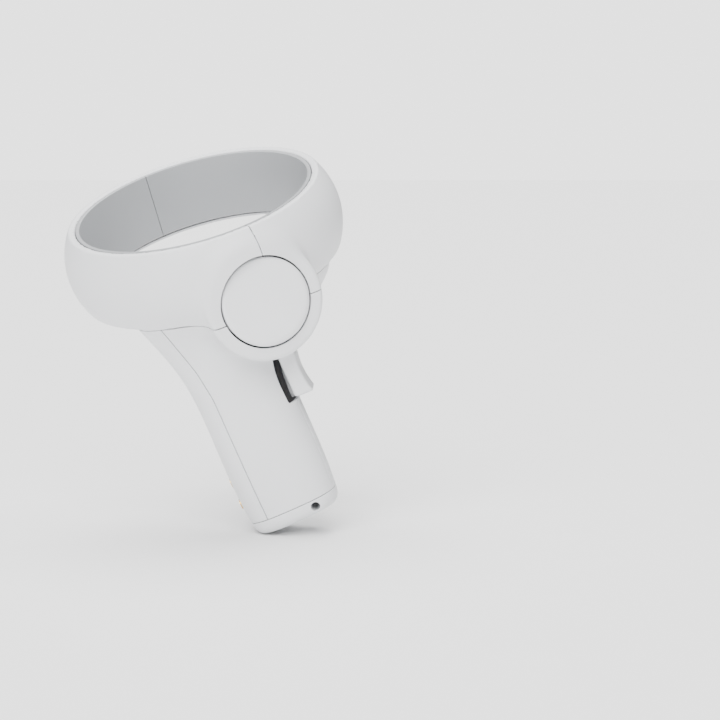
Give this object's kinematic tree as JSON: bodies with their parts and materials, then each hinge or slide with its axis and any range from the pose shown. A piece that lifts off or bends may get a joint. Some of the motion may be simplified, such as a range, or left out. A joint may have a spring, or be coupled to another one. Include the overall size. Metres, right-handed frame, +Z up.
{
  "type": "vr motion controller",
  "caption": "Right-hand virtual-reality motion controller: tilted tracking ring round the head, round index trigger, side grip button, thumbstick face and leaning handle.",
  "frame": {"origin": "centre of the flat end of the handle, which rests in a charging dock's pocket", "axes": "docked pose: +Z up, +X to the user's left (the inner side, where the grip button is), +Y towards the user's thumb side; the trigger faces -Y and the handle leans 24 degrees towards -X"},
  "size_m": [0.0968, 0.0963, 0.1316],
  "materials": {
    "shell_white": "satin moulded shell, very fine texture",
    "key_white": "polished moulded plastic",
    "liner_grey": "satin grey moulded plastic, clear to infrared light",
    "stick_grey": "soft-touch light grey over-moulding",
    "inner_dark": "dark moulded plastic, as moulded",
    "steel": "plain drawn or stamped steel",
    "zinc": "die-cast, unpainted",
    "magnet": "nickel plated",
    "board_green": "solder-masked glass-fibre board",
    "film_amber": "polyimide film",
    "silicone": "moulded silicone",
    "lamp_dark": "clear dark resin",
    "cell_jacket": "printed-free plastic jacket on a steel can",
    "gold": "gold plated contact"
  },
  "bodies": {
    "controller": {"ring_cover_left": "shell_white", "ring_cover_right": "shell_white", "ring_liner_left": "liner_grey", "ring_liner_right": "liner_grey", "ring_flex": "film_amber", "ring_lamps": "lamp_dark", "front_housing": "shell_white", "rear_housing": "shell_white", "end_cap": "shell_white", "face_plate": "shell_white", "face_ring": "liner_grey", "button_pad": "silicone", "button_board": "board_green", "main_board": "board_green", "touch_film": "film_amber", "stick_base": "inner_dark", "trigger_pin": "steel", "trigger_spring": "steel", "trigger_bracket": "zinc", "trigger_sensor": "inner_dark", "grip_pin": "steel", "grip_spring": "steel", "grip_bracket": "zinc", "grip_sensor": "inner_dark", "battery_tray": "inner_dark", "battery_cell": "cell_jacket", "spring_contact": "steel", "plate_contact": "steel", "grip_board": "board_green", "haptic_motor": "zinc", "housing_screws": "steel"},
    "trigger": {"trigger_cap": "key_white", "trigger_lever": "inner_dark", "trigger_magnet": "magnet"},
    "grip": {"grip_button": "shell_white", "grip_magnet": "magnet"},
    "stick_carriage": {"gimbal_frame": "zinc"},
    "stick_yoke": {"gimbal_yoke": "zinc"},
    "stick": {"thumbstick_cap": "stick_grey", "stick_shaft": "inner_dark", "stick_dome": "inner_dark"},
    "upper_button": {"button_upper": "key_white"},
    "lower_button": {"button_lower": "key_white"},
    "home": {"home_button": "shell_white"},
    "cover": {"battery_cover": "shell_white", "charge_pads": "gold"}
  },
  "joints": [
    {"name": "trigger_pull", "type": "hinge", "parent": "controller", "child": "trigger", "pos_m": [-0.02225, -0.02474, 0.07621], "axis": [0.0154, -0.0427, 0.999], "range_deg": [0, 10], "stiffness_Nm_per_rad": 0.08, "springref_deg": -8.59},
    {"name": "grip_squeeze", "type": "hinge", "parent": "controller", "child": "grip", "pos_m": [-0.00938, -0.0015, 0.06041], "axis": [0, 1, 0], "range_deg": [0, 6], "stiffness_Nm_per_rad": 0.12, "springref_deg": -6.88},
    {"name": "stick_press", "type": "slide", "parent": "controller", "child": "stick_carriage", "axis": [0.261, -0.2809, -0.9235], "range_m": [0, 0.0004], "stiffness_N_per_m": 2500, "springref_m": -0.0005},
    {"name": "stick_tilt_x", "type": "hinge", "parent": "stick_carriage", "child": "stick_yoke", "pos_m": [-0.0122, 0.00332, 0.07434], "axis": [0.9653, 0.076, 0.2497], "range_deg": [-18, 18], "stiffness_Nm_per_rad": 0.02},
    {"name": "stick_tilt_y", "type": "hinge", "parent": "stick_yoke", "child": "stick", "pos_m": [-0.0122, 0.00332, 0.07434], "axis": [0, 0.9567, -0.291], "range_deg": [-18, 18], "stiffness_Nm_per_rad": 0.02},
    {"name": "upper_press", "type": "slide", "parent": "controller", "child": "upper_button", "axis": [0.261, -0.2809, -0.9235], "range_m": [0, 0.0007], "stiffness_N_per_m": 900, "springref_m": -0.0004},
    {"name": "lower_press", "type": "slide", "parent": "controller", "child": "lower_button", "axis": [0.261, -0.2809, -0.9235], "range_m": [0, 0.0007], "stiffness_N_per_m": 900, "springref_m": -0.0004},
    {"name": "home_press", "type": "slide", "parent": "controller", "child": "home", "axis": [0.261, -0.2809, -0.9235], "range_m": [0, 0.0007], "stiffness_N_per_m": 900, "springref_m": -0.0004},
    {"name": "cover_lift", "type": "slide", "parent": "controller", "child": "cover", "axis": [-0.9135, 0, -0.4067], "range_m": [0, 0.028]}
  ]
}
